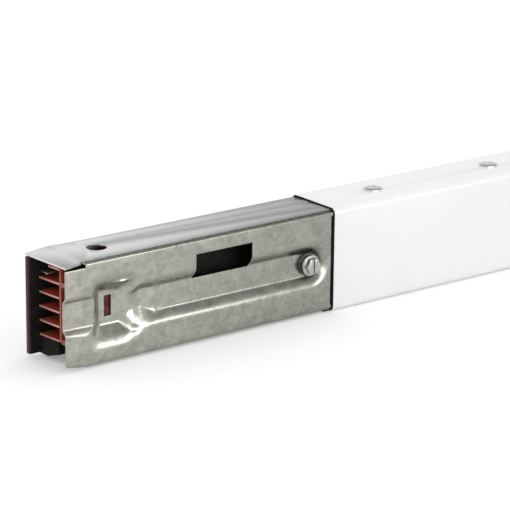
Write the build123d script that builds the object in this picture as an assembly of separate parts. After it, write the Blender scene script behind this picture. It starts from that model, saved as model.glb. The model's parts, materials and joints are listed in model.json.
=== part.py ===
"""A busway section: a painted steel casing with copper bars inside and a galvanised joint end.

X runs along the section, from the joint end to the open end that takes the next section's joint.
Y runs across it, from the pressed front plate to the plain rear plate, and Z is up.
The origin is on the floor under the middle of the section.
"""
from build123d import *
import os
from math import hypot

# Casing: a painted tube, and the joint sleeve that slides into the next casing
casing_length = 1000.0
casing_width = 46.0
casing_height = 72.3
casing_wall = 0.8
casing_corner = 4.2
slide_gap = 0.25
joint_length = 216.0
tail_overlap = 80.0

# Galvanised sheet
side_sheet = 1.2
cover_sheet = 1.2
top_bend = 1.2
foot_bend = 4.0
flange_width = 10.0
cover_inset = 2.8
lead_in = 17.4
lead_web_drop = 2.3
lead_cover_drop = 2.0
cover_setback = (2.2, 0.2)
cover_tab_end = 13.4
cover_tab_inset = 0.3
cover_taper = ((17.4, 1.2), (36.0, 2.8))
floor_inset = 4.2
plate_setback = 1.8
floor_setback = 30.0
corner_cut_x = 1.0
corner_cut_z = 2.0
cover_hole_radius = 6.6
cover_hole_x = 40.0

# Pressed relief of the front plate, as places from the joint end and heights above the sleeve's foot
entry_depth = 3.0
entry_overrun = 20.0
entry_mouth_z = (23.7, 47.2)
entry_floor_z = (26.7, 44.4)
pocket_depth = 8.0
pocket_mouth_x = (21.0, 58.5)
pocket_floor_x = (31.2, 46.5)
pocket_mouth_z = (12.6, 55.8)
pocket_floor_z = (23.5, 46.3)
pocket_rounds = (9.0, 3.0)
neck_depth = 3.8
neck_mouth_z = (19.9, 48.8)
neck_floor_z = (31.3, 41.1)
channel_depth = 5.0
channel_mouth_half = 13.1
channel_floor_half = 8.4
throat_mouth_start = 59.5
throat_floor_start = 72.7
throat_rounds = (4.0, 3.0)
relief_height = 34.7
floor_bend = 1.2
mouth_flare = 0.8
mouth_bend_depth = 0.4

# Cut-outs of the front plate
slot_place = (102.3, 147.7)
slot_height = (42.3, 59.7)
slot_corner = 1.0
window_width = 5.4
window_height = 14.0
window_x = 38.4
window_z = 35.6

# Clamping screw and its washers and nut
screw_setback = 18.5
screw_radius = 3.0
screw_hole_play = 0.3
screw_head_flats = 10.0
screw_head_height = 3.4
screw_flange_radius = 7.0
screw_flange_height = 1.4
screw_slot_width = 1.4
screw_slot_depth = 1.2
screw_tail = 3.0
spring_washer_radius = 5.6
spring_washer_height = 1.4
washer_height = 1.8
nut_flats = 10.0
nut_height = 5.0

# Conductors and the comb that keeps them apart
conductor_count = 4
bar_width = 14.0
bar_thickness = 3.0
bar_reach = 104.0
contact_depth = 100.0
comb_front = 8.2
comb_length = 180.0
comb_foot = 13.8
comb_slant = 2.0
comb_headroom = 8.9
comb_fin = 1.4
spine_near = 18.1
spine_thickness = 1.7
top_fin_width = 11.0
peg_length = 7.4
peg_depth = 5.0
peg_height = 3.2
fin_play = 0.1
jaw_front = 24.0
jaw_sheet = 0.8
jaw_grip = 26.0
jaw_flare = 1.3
jaw_flare_length = 8.0

# Black tray behind and under the comb
liner_thickness = 2.4
liner_front = 0.4
liner_rise = 4.2
liner_toe = 1.4
liner_toe_length = 16.0
liner_headroom = 3.0
shield_thickness = 2.0
shield_setback = 5.0
tray_wall = 3.0
toe_length = 8.0
toe_steps = ((31.0, 1.4), (25.0, 3.4))
toe_front_rise = 5.6

# Red strip on the tray's front edge, indicator and earth contact
edge_strip = 1.6
indicator_near = 9.8
indicator_length = 22.0
indicator_half = 9.5
earth_sheet = 1.0
earth_width = 8.0
earth_front = 6.0
earth_length = 60.0
earth_rise = 3.2

# Supports along the casing, rivets on its top and gasket at its mouth
support_length = 14.0
support_play = 0.1
support_window_width = 14.0
support_rail = 6.0
rivet_first = 52.0
rivet_pitch = 106.0
rivet_flange_radius = 6.5
rivet_rim = 0.35
rivet_shoulder = (4.2, 1.15)
rivet_dome = 1.4
rivet_radius = 2.4
rivet_play = 0.1
rivet_bore = 1.2
rivet_grip = 2.5
gasket_length = 1.8
gasket_rim_length = 0.5
gasket_corner_rise = 5.0
gasket_inset = 0.3
gasket_lug_length = 5.5
gasket_lug_width = 7.0
gasket_lug_height = 0.5
gasket_lug_rise = 0.1

# Worked out from the sizes above
end_x = -(casing_length + joint_length) / 2
mouth_x = end_x + joint_length
tail_x = mouth_x + casing_length
sleeve_width = casing_width - 2 * (casing_wall + slide_gap)
sleeve_rise = casing_height - 2 * (casing_wall + slide_gap)
side_height = sleeve_rise - cover_sheet
sleeve_length = joint_length + tail_overlap
screw_x = joint_length - screw_setback
washer_radius = channel_floor_half - floor_bend / 2
joint_place = Location((end_x, -sleeve_width / 2, casing_wall + slide_gap))
spine_far = spine_near + spine_thickness
shield_near = spine_near - shield_thickness
liner_near = sleeve_width - side_sheet - liner_thickness
comb_top = sleeve_rise - comb_headroom
conductor_pitch = (comb_top - comb_foot) / (conductor_count + 1)
bar_middle = (spine_far + liner_near) / 2
bar_heights = [comb_foot + conductor_pitch * (row + 0.5) for row in range(conductor_count)]
bar_start = bar_reach
bar_end = joint_length + casing_length - (joint_length - contact_depth)
over = 1.0
match = 0.001
almost_half = 0.499


def block(x, y, z):
    """A box from its (low, high) pairs along X, Y and Z."""
    size = (x[1] - x[0], y[1] - y[0], z[1] - z[0])
    low = (Align.MIN, Align.MIN, Align.MIN)
    return Pos(x[0], y[0], z[0]) * Box(*size, align=low)


def across(radius, y, x, z):
    """A round bar along Y, from y[0] to y[1], on the axis through x and z."""
    return Pos(x, (y[0] + y[1]) / 2, z) * Rot(90, 0, 0) * Cylinder(radius, y[1] - y[0])


def tube_face(width, height, corner):
    """A rounded rectangle in the YZ plane, on the casing's middle."""
    return Plane.YZ * Pos(0, casing_height / 2) * RectangleRounded(width, height, corner)


def side_plate():
    """The bent side plate without its relief, in the joint's own frame."""
    outline = Rectangle(flange_width, side_height, align=(Align.MIN, Align.MIN))
    hollow = Rectangle(flange_width, side_height - 2 * side_sheet, align=(Align.MIN, Align.MIN))
    profile = outline - Pos(side_sheet, side_sheet) * hollow
    outer = [v for v in profile.vertices() if v.X < side_sheet / 2]
    profile = fillet([v for v in outer if v.Y > side_sheet], top_bend)
    profile = fillet([v for v in profile.vertices() if hypot(v.X, v.Y) < side_sheet], foot_bend)
    inner = [v for v in profile.vertices() if hypot(v.X - side_sheet, v.Y - side_sheet) < match]
    profile = fillet(inner, foot_bend - side_sheet)
    plate = extrude(Plane.YZ.offset(plate_setback) * profile, sleeve_length - plate_setback)
    past = (-over, flange_width + over)
    plate -= block((-over, lead_in), past, (side_height - lead_web_drop, side_height + over))
    plate -= block((-over, lead_in), (side_sheet, past[1]), (-over, side_height + over))
    cut = Plane.XZ.offset(over) * make_face(
        Polyline((0, 0), (plate_setback + corner_cut_x, 0), (plate_setback, corner_cut_z),
                 (0, corner_cut_z), close=True)
    )
    return plate - extrude(cut, -2 * over - side_sheet)


def pressing(mouth, floor, depth, rounds, back=0.0):
    """One pressed form: its hollow with back 0, or the bulge behind a sheet of thickness back.

    mouth and floor are (low x, high x, low z, high z), and rounds their corner radii. A form with
    no rounds is open at its ends, so only its long floor edges are bent.
    """
    slopes = [back * hypot(f - m, depth) / depth for m, f in zip(mouth, floor)]
    outward = (-1, 1, -1, 1)

    def outline(y, flare=0.0):
        """The form's outline at depth y, with its sloping sides moved out by flare."""
        part = y / depth
        spread = [s + flare * (m != f) for m, f, s in zip(mouth, floor, slopes)]
        edges = [m + (f - m) * part + s * o for m, f, s, o in zip(mouth, floor, spread, outward)]
        width = edges[1] - edges[0]
        height = edges[3] - edges[2]
        level = Plane.XZ.offset(-y) * Pos((edges[0] + edges[1]) / 2, (edges[2] + edges[3]) / 2)
        if not rounds:
            return level * Rectangle(width, height)
        corner = rounds[0] + (rounds[1] - rounds[0]) * part + slopes[2] + flare
        return level * RectangleRounded(width, height, min(corner, almost_half * min(width, height)))

    bottom = depth + back
    if back:
        form = loft([outline(0.0), outline(bottom)], ruled=True)
    else:
        mouth_levels = [outline(-over, 2 * mouth_flare), outline(0.0, mouth_flare)]
        form = loft([*mouth_levels, outline(mouth_bend_depth), outline(depth)], ruled=True)
    bends = [e for e in form.edges() if abs(e.center().Y - bottom) < match]
    if not rounds:
        bends = [e for e in bends if abs(e.tangent_at(0).X) > 1 - match]
    return fillet(bends, floor_bend + back)


def relief(back=0.0):
    """The joined forms of the front plate's relief: entry, pocket, neck, throat and channel."""
    entry_x = (-entry_overrun, pocket_floor_x[0])
    entry = pressing((*entry_x, *entry_mouth_z), (*entry_x, *entry_floor_z), entry_depth, None, back)
    pocket = pressing((*pocket_mouth_x, *pocket_mouth_z), (*pocket_floor_x, *pocket_floor_z),
                      pocket_depth, pocket_rounds, back)
    neck_x = (pocket_floor_x[1], throat_floor_start)
    neck = pressing((*neck_x, *neck_mouth_z), (*neck_x, *neck_floor_z), neck_depth, None, back)
    mouth_z = (relief_height - channel_mouth_half, relief_height + channel_mouth_half)
    floor_z = (relief_height - channel_floor_half, relief_height + channel_floor_half)
    square = pressing((throat_mouth_start, sleeve_length, *mouth_z),
                      (throat_floor_start, sleeve_length - channel_mouth_half, *floor_z),
                      channel_depth, throat_rounds, back)
    round_start = throat_floor_start + channel_mouth_half
    stadium = pressing((throat_floor_start, screw_x + channel_mouth_half, *mouth_z),
                       (round_start - channel_floor_half, screw_x + channel_floor_half, *floor_z),
                       channel_depth, (channel_mouth_half, channel_floor_half), back)
    halfway = sum(slot_place) / 2
    through = ((-sleeve_width, sleeve_width), (0, side_height))
    throat = square & block((0, halfway), *through)
    channel = stadium & block((halfway, sleeve_length), *through)
    return entry + pocket + neck + (throat + channel)


def front_plate():
    """The side plate with the pressed relief, the tap slot, the window and the screw hole."""
    inside = block((plate_setback, sleeve_length), (0, sleeve_width),
                   (side_sheet, side_height - side_sheet))
    plate = side_plate() + (relief(side_sheet) & inside) - relief()
    middle = (sum(slot_place) / 2, sum(slot_height) / 2)
    slot_size = (slot_place[1] - slot_place[0], slot_height[1] - slot_height[0])
    slot = Plane.XZ.offset(over) * Pos(*middle) * RectangleRounded(*slot_size, slot_corner)
    plate -= extrude(slot, -(over + channel_depth + side_sheet + over))
    half = (window_width / 2, window_height / 2)
    through = (-over, pocket_depth + side_sheet + over)
    plate -= block((window_x - half[0], window_x + half[0]), through,
                   (window_z - half[1], window_z + half[1]))
    return plate - across(screw_radius + screw_hole_play, through, screw_x, relief_height)


def rear_plate():
    """The plain side plate, turned to face the front one and set back behind the tray's edge."""
    plate = mirror(side_plate(), Plane.XZ.offset(-sleeve_width / 2))
    return plate - block((-over, liner_front + edge_strip), (0, sleeve_width + over),
                         (-over, side_height + over))


def top_cover():
    """The cover strip over the side plates' flanges, with a wider tab bent down at its free end."""
    top = sleeve_rise
    low = top - cover_sheet
    start = min(cover_setback)
    fold = make_face(Polyline(
        (start, low - lead_cover_drop), (lead_in, low), (sleeve_length, low),
        (sleeve_length, top), (lead_in, top), (start, top - lead_cover_drop), close=True,
    ))
    strip = extrude(Plane.XZ * fold, -sleeve_width)
    plan = make_face(Polyline(
        (cover_setback[0], cover_tab_inset), (cover_tab_end, cover_tab_inset),
        (cover_tab_end, cover_inset), (sleeve_length, cover_inset),
        (sleeve_length, sleeve_width - cover_inset),
        *[(x, sleeve_width - inset) for x, inset in reversed(cover_taper)],
        (cover_setback[1], sleeve_width - cover_tab_inset), close=True,
    ))
    strip &= extrude(plan, sleeve_rise + over)
    hole = Pos(cover_hole_x, sleeve_width / 2, low) * Cylinder(cover_hole_radius, 4 * cover_sheet)
    rivet_hole = Pos(joint_length + rivet_first, sleeve_width / 2, low)
    return strip - hole - rivet_hole * Cylinder(rivet_radius + rivet_play, 4 * cover_sheet)


def bottom_cover():
    """The floor strip, lying inside on the side plates' lower flanges."""
    return block((floor_setback, sleeve_length), (floor_inset, sleeve_width - floor_inset),
                 (side_sheet, side_sheet + cover_sheet))


def contact_comb():
    """The red comb: a spine with a fin under and over each conductor, and two guide pegs."""
    reach = (comb_front, comb_front + comb_length)
    comb = block(reach, (spine_near, spine_far), (comb_foot - comb_fin / 2, comb_top + comb_fin / 2))
    for row in range(conductor_count + 1):
        height = comb_foot + row * conductor_pitch
        levels = (height - comb_fin / 2, height + comb_fin / 2)
        comb += block(reach, (spine_near, liner_near - fin_play), levels)
    top = (comb_top - comb_fin / 2, comb_top + comb_fin / 2)
    comb += block(reach, (spine_near, spine_far + top_fin_width), top)
    for row in (0, conductor_count):
        height = comb_foot + row * conductor_pitch
        depth = (comb_front, comb_front + comb_slant + peg_depth)
        levels = (height - peg_height / 2, height + peg_height / 2)
        comb += block(depth, (spine_near - peg_length, spine_near), levels)
    slant = make_face(Polyline(
        (0, 0), (comb_front + comb_slant, 0), (comb_front + comb_slant, spine_near),
        (comb_front, liner_near), (0, liner_near), close=True,
    ))
    return comb - extrude(slant, sleeve_rise)


def insulator_tray():
    """The black tray: a wall along the rear plate, a foot under the comb and a shield before it."""
    reach = comb_front + comb_length
    wall_front = liner_front + edge_strip
    foot_low = side_sheet + cover_sheet
    foot_high = comb_foot - comb_fin / 2
    wall = (liner_near, liner_near + liner_thickness)
    tray = block((wall_front, reach), wall, (liner_rise, side_height - liner_headroom))
    tray += block((wall_front, liner_toe_length), wall, (liner_toe, liner_rise))
    toe_end = comb_front + toe_length
    tray += block((toe_end, reach), (spine_near, liner_near), (foot_low, foot_high))
    toe = make_face(Polyline(
        (spine_near, foot_high), (spine_near, toe_front_rise), *reversed(toe_steps),
        (liner_near, liner_toe), (liner_near, foot_high), close=True,
    ))
    tray += extrude(Plane.YZ.offset(comb_front) * toe, toe_length)
    tray += block((comb_front + shield_setback, reach), (shield_near, spine_near),
                  (foot_high - tray_wall, comb_top + comb_fin / 2))
    hollow = (spine_near + tray_wall, liner_near - tray_wall)
    tray -= block((toe_end, reach + over), hollow, (foot_low - over, foot_high - tray_wall))
    for row in (0, conductor_count):
        height = comb_foot + row * conductor_pitch
        half = peg_height / 2 + fin_play
        tray -= block((0, comb_front + comb_slant + peg_depth + fin_play), (0, spine_near),
                      (height - half, height + half))
    return tray


def tray_edge():
    """The dark red strip over the front edges of the tray's wall and the rear plate."""
    return block((liner_front, liner_front + edge_strip), (liner_near, sleeve_width),
                 (liner_toe, side_height - liner_headroom))


def indicator():
    """The red flag on the tray's shield that shows through the window."""
    reach = (window_x - indicator_length / 2, window_x + indicator_length / 2)
    levels = (window_z - indicator_half, window_z + indicator_half)
    return block(reach, (indicator_near, shield_near), levels)


def earth_contact():
    """The earth strip in the comb's highest bay, folded up to touch the top cover."""
    shelf_low = comb_top - conductor_pitch + comb_fin / 2 + earth_rise
    shelf_levels = (shelf_low, shelf_low + earth_sheet)
    riser_y = spine_far + top_fin_width + fin_play
    reach = (earth_front, earth_front + earth_length)
    shelf = block((comb_front, reach[1]), (riser_y, riser_y + earth_width), shelf_levels)
    riser = block((lead_in, reach[1]), (riser_y, riser_y + earth_sheet),
                  (shelf_low, sleeve_rise - cover_sheet))
    return shelf + riser


def busbar(height):
    """One copper bar, from inside its contact jaw to its end in the open mouth."""
    return block((bar_start, bar_end), (bar_middle - bar_width / 2, bar_middle + bar_width / 2),
                 (height - bar_thickness / 2, height + bar_thickness / 2))


def contact_jaw(height):
    """Two spring leaves that grip this section's bar and flare to take the next section's."""
    tail = bar_start + jaw_grip
    half = bar_thickness / 2
    leaf = make_face(Polyline(
        (jaw_front, half + jaw_flare), (jaw_front + jaw_flare_length, half), (tail, half),
        (tail, half + jaw_sheet), (jaw_front + jaw_flare_length, half + jaw_sheet),
        (jaw_front, half + jaw_flare + jaw_sheet), close=True,
    ))
    upper = extrude(Plane.XZ.offset(-(bar_middle - bar_width / 2)) * leaf, -bar_width)
    heel = block((bar_start - jaw_sheet, bar_start),
                 (bar_middle - bar_width / 2, bar_middle + bar_width / 2), (-half, half))
    return Pos(0, 0, height) * (upper + mirror(upper, Plane.XY) + heel)


def lock_screw():
    """The slotted hexagon screw with its flange, standing on its washers."""
    seat = channel_depth - washer_height - spring_washer_height
    flange = across(screw_flange_radius, (seat - screw_flange_height, seat), screw_x, relief_height)
    head_front = seat - screw_flange_height - screw_head_height
    hexagon = RegularPolygon(screw_head_flats / 2, 6, major_radius=False, rotation=0)
    head = extrude(Plane.XZ.offset(-head_front) * Pos(screw_x, relief_height) * hexagon,
                   -screw_head_height)
    shank_end = channel_depth + side_sheet + nut_height + screw_tail
    shank = across(screw_radius, (seat, shank_end), screw_x, relief_height)
    slot = block((screw_x - screw_slot_width / 2, screw_x + screw_slot_width / 2),
                 (head_front - over, head_front + screw_slot_depth),
                 (relief_height - screw_head_flats, relief_height + screw_head_flats))
    return head + flange + shank - slot


def ring(radius, y):
    """A washer round the screw, from y[0] to y[1]."""
    hole = across(screw_radius + screw_hole_play, (y[0] - over, y[1] + over), screw_x, relief_height)
    return across(radius, y, screw_x, relief_height) - hole


def lock_nut():
    """The nut that is clinched behind the front plate."""
    back = channel_depth + side_sheet
    hexagon = RegularPolygon(nut_flats / 2, 6, major_radius=False)
    body = extrude(Plane.XZ.offset(-back) * Pos(screw_x, relief_height) * hexagon, -nut_height)
    bore = across(screw_radius + fin_play, (back - over, back + nut_height + over), screw_x, relief_height)
    return body - bore


def bar_support(x):
    """One insulating spacer that fills the casing's bore, under a rivet, with slots for the bars."""
    bore_width = casing_width - 2 * casing_wall
    bore_height = casing_height - 2 * casing_wall
    face = tube_face(bore_width - 2 * support_play, bore_height - 2 * support_play,
                     casing_corner - casing_wall)
    body = extrude(face, support_length)
    window_near = -bore_width / 2 + support_rail
    body -= block((-over, support_length + over), (window_near, window_near + support_window_width),
                  (casing_wall + support_rail, casing_height - casing_wall - support_rail))
    rivet_hole = Cylinder(rivet_radius + rivet_play, 4 * rivet_grip)
    body -= Pos(support_length / 2, 0, casing_height) * rivet_hole
    shift = -sleeve_width / 2
    for height in bar_heights:
        level = casing_wall + slide_gap + height
        half_width = bar_width / 2 + support_play
        half_height = bar_thickness / 2 + support_play
        body -= block((-over, support_length + over),
                      (shift + bar_middle - half_width, shift + bar_middle + half_width),
                      (level - half_height, level + half_height))
    return Pos(mouth_x + x - support_length / 2, 0, 0) * body


def casing():
    """The painted tube with a row of rivet holes along the middle of its top."""
    bore = (casing_width - 2 * casing_wall, casing_height - 2 * casing_wall)
    face = tube_face(casing_width, casing_height, casing_corner)
    tube = extrude(face - tube_face(*bore, casing_corner - casing_wall), casing_length)
    for x in rivet_places():
        hole = Cylinder(rivet_radius + rivet_play, 4 * casing_wall)
        tube -= Pos(x, 0, casing_height - casing_wall / 2) * hole
    return Pos(mouth_x, 0, 0) * tube


def rivet_places():
    """Distances of the rivets from the casing's mouth, up to the part that the next joint fills."""
    count = int((casing_length - joint_length - rivet_first - support_length) // rivet_pitch) + 1
    return [rivet_first + rivet_pitch * place for place in range(count)]


def rivet(x):
    """A blind rivet: a domed flange with a pulled-out bore, and a shank through the wall."""
    half = make_face(Polyline(
        (rivet_bore, -rivet_grip), (rivet_radius, -rivet_grip), (rivet_radius, 0),
        (rivet_flange_radius, 0), (rivet_flange_radius, rivet_rim), rivet_shoulder,
        (rivet_bore, rivet_dome), close=True,
    ))
    return Pos(mouth_x + x, 0, casing_height) * revolve(Plane.XZ * half, Axis.Z)


def end_gasket():
    """The black rubber ring against the casing's mouth, thicker down its sides, with a lug below."""
    outer = tube_face(casing_width - 2 * gasket_inset, casing_height - 2 * gasket_inset,
                      casing_corner - gasket_inset)
    bore = tube_face(casing_width - 2 * casing_wall, casing_height - 2 * casing_wall,
                     casing_corner - casing_wall)
    ring = extrude(outer - bore, gasket_length)
    rim = block((gasket_length - gasket_rim_length, gasket_length), (-casing_width, casing_width),
                (0, casing_height))
    sides = block((0, gasket_length), (-casing_width, casing_width),
                  (gasket_corner_rise, casing_height - gasket_corner_rise))
    lug = block((gasket_length - gasket_lug_length, gasket_length),
                (-casing_width / 2 + casing_corner, -casing_width / 2 + casing_corner + gasket_lug_width),
                (gasket_lug_rise, gasket_lug_rise + gasket_lug_height))
    return Pos(mouth_x - gasket_length, 0, 0) * ((ring & (rim + sides)) + lug)


def joint_pieces():
    """Every piece of the joint end, named, in the joint's own frame."""
    seat = channel_depth - washer_height
    pieces = {
        "front_side_plate": front_plate(),
        "rear_side_plate": rear_plate(),
        "top_cover": top_cover(),
        "bottom_cover": bottom_cover(),
        "contact_comb": contact_comb(),
        "insulator_tray": insulator_tray(),
        "tray_edge": tray_edge(),
        "indicator": indicator(),
        "earth_contact": earth_contact(),
        "lock_screw": lock_screw(),
        "spring_washer": ring(spring_washer_radius, (seat - spring_washer_height, seat)),
        "flat_washer": ring(washer_radius, (seat, channel_depth)),
        "lock_nut": lock_nut(),
    }
    for row, height in enumerate(bar_heights, start=1):
        pieces[f"busbar_{row}"] = busbar(height)
        pieces[f"contact_jaw_{row}"] = contact_jaw(height)
    return pieces


def casing_pieces():
    """Every piece of the casing, named, in the section's frame."""
    pieces = {"casing": casing(), "end_gasket": end_gasket()}
    for place, x in enumerate(rivet_places(), start=1):
        pieces[f"rivet_{place}"] = rivet(x)
    for place, x in enumerate(rivet_places()[1:], start=1):
        pieces[f"bar_support_{place}"] = bar_support(x)
    return pieces


os.makedirs("parts", exist_ok=True)
for name, piece in joint_pieces().items():
    export_step(joint_place * piece, f"parts/{name}.step")
for name, piece in casing_pieces().items():
    export_step(piece, f"parts/{name}.step")
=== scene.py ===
"""Looks of a busway section: painted casing, galvanised joint end, contact comb and copper bars.

Every length is in millimetres in the classes' fields and in metres in the meshes. The joint end's
sizes repeat those of the solid frame, and every place comes from the frame's own boxes.
"""

import json
import logging
import math
from dataclasses import dataclass
from enum import Enum
from typing import Any, Callable, Iterable, Sequence

import bmesh
import bpy
import numpy as np
from mathutils import Matrix, Vector

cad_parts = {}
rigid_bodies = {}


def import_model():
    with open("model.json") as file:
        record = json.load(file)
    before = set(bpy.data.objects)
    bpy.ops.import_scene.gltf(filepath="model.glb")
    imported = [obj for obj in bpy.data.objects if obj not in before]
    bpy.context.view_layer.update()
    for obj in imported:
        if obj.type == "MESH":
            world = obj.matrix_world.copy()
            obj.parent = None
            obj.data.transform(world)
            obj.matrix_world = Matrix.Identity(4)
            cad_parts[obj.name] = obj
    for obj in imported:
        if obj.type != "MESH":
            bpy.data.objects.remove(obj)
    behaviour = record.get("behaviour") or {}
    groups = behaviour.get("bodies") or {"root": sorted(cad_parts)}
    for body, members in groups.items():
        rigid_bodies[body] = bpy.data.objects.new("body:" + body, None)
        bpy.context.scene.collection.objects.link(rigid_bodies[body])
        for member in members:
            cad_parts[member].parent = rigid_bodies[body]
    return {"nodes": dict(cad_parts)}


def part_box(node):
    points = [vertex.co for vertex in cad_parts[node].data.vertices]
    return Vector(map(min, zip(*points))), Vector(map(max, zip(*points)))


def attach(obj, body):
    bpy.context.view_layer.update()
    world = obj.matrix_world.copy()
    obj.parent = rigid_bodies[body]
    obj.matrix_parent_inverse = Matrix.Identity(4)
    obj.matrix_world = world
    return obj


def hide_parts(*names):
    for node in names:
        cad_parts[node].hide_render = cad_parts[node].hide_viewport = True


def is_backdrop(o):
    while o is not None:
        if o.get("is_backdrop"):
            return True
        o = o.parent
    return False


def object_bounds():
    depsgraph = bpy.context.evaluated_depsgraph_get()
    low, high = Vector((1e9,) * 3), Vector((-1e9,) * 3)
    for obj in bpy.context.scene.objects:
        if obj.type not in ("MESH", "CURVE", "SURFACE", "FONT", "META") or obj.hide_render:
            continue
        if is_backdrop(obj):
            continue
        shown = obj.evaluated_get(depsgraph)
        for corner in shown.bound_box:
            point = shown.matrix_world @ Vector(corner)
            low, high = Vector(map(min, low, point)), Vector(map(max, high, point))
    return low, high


MM = 0.001
ROOT = "root"
WELD_M = 1e-6
FLAT_DEG = 0.4
log = logging.getLogger("busway")
logging.basicConfig(level=logging.INFO, format="%(name)s: %(message)s")

Colour = tuple[float, float, float]
Triple = tuple[float, float, float]
Span = tuple[float, float]
Socket = bpy.types.NodeSocket

# Most of a noise pattern's values lie in this band.
BAND: Span = (0.3, 0.7)


class Slot(Enum):
    """The record's material slots."""

    PAINT = "white_paint"
    SHEET = "galvanised_sheet"
    COVER = "galvanised_cover"
    ZINC = "zinc_plated"
    DARK_ZINC_SHADE = "dark_zinc"
    RIVET = "rivet_steel"
    TIN = "tinned_copper"
    COPPER = "copper"
    RED = "red_insulator"
    FLAG = "red_flag"
    MAROON_SHADE = "maroon_trim"
    BLACK = "black_insulator"
    RUBBER = "black_rubber"


# ---- finishes


class Graph:
    """A node tree that adds nodes, joins them and does simple sums."""

    def __init__(self, tree: bpy.types.NodeTree) -> None:
        """Take over a tree and empty it."""
        self.tree = tree
        self.tree.nodes.clear()

    def add(self, kind: str, **settings: Any) -> bpy.types.Node:
        """Add one node.

        Args:
            kind: The node's type.
            settings: Its properties and their values.

        Returns:
            The new node.
        """
        node = self.tree.nodes.new(kind)
        for key, value in settings.items():
            setattr(node, key, value)
        return node

    def link(self, source: Socket, target: Socket) -> None:
        """Join two sockets."""
        self.tree.links.new(source, target)

    def sums(self, a: Socket, b: Socket, how: str = "ADD") -> Socket:
        """Join two values by one sum.

        Args:
            a: The first value.
            b: The second value.
            how: The kind of sum.

        Returns:
            The result.
        """
        node = self.add("ShaderNodeMath", operation=how)
        self.link(a, node.inputs[0])
        self.link(b, node.inputs[1])
        return node.outputs["Value"]

    def ranged(
        self, source: Socket, high: Span, low: Span = (0.0, 1.0), run: str = "LINEAR"
    ) -> Socket:
        """Stretch a value from one range to another, held at its ends.

        Args:
            source: The value.
            high: The range that comes out.
            low: The range that goes in.
            run: How it runs between its ends.

        Returns:
            The stretched value.
        """
        node = self.add("ShaderNodeMapRange", clamp=True, interpolation_type=run)
        for key, value in zip(("From Min", "From Max", "To Min", "To Max"), (*low, *high)):
            node.inputs[key].default_value = value
        self.link(source, node.inputs["Value"])
        return node.outputs["Result"]

    def along(self, place: Socket, axis: str) -> Socket:
        """One coordinate of a place.

        Args:
            place: The place.
            axis: Which coordinate: X, Y or Z.

        Returns:
            The coordinate.
        """
        split = self.add("ShaderNodeSeparateXYZ")
        self.link(place, split.inputs["Vector"])
        return split.outputs[axis]


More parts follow.
